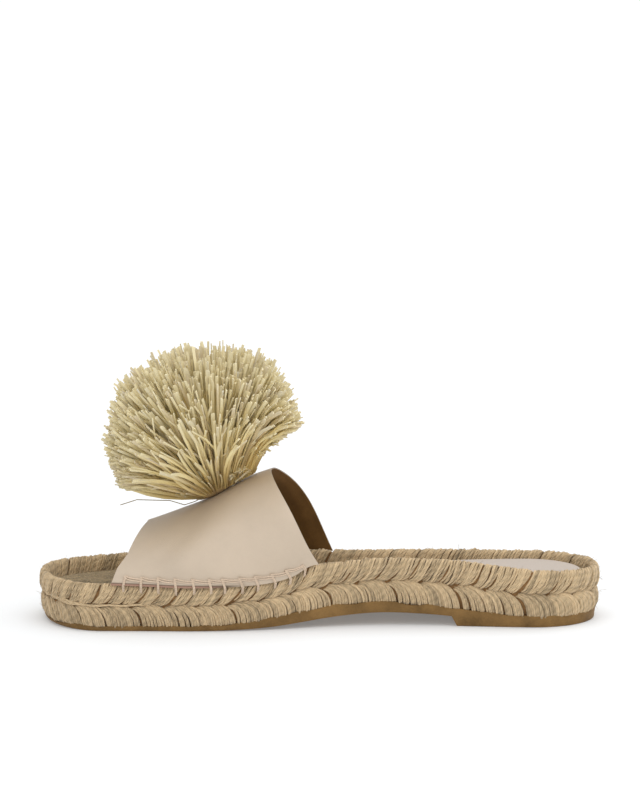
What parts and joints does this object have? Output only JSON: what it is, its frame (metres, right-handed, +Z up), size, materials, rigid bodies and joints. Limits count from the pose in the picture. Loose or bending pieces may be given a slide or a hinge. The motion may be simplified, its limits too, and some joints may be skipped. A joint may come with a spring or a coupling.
{
  "type": "mule slipper",
  "caption": "Open-toe espadrille mule slipper for the right foot: braided jute flatform sole, rubber outsole with a low heel, wide leather vamp band and a straw pompom tied on top.",
  "frame": {"origin": "middle of the bounding box, on the floor under the sole", "axes": "+Z up, toe towards -X and heel towards +X, inner (medial) side of the foot towards -Y"},
  "size_m": [0.2548, 0.0974, 0.1245],
  "materials": {
    "rubber": "gum brown, matt, worn",
    "jute": "natural jute yarn, plaited",
    "insole": "fibrous jute board",
    "sock": "smooth matt taupe",
    "leather": "smooth nude leather, soft sheen, dark brown lining",
    "straw": "pale dry straw strips"
  },
  "bodies": {
    "root": {"rubber_outsole": "rubber", "jute_braid_sole": "jute", "jute_insole": "insole", "heel_sock": "sock", "leather_upper": "leather", "raffia_pompom": "straw"}
  },
  "joints": []
}
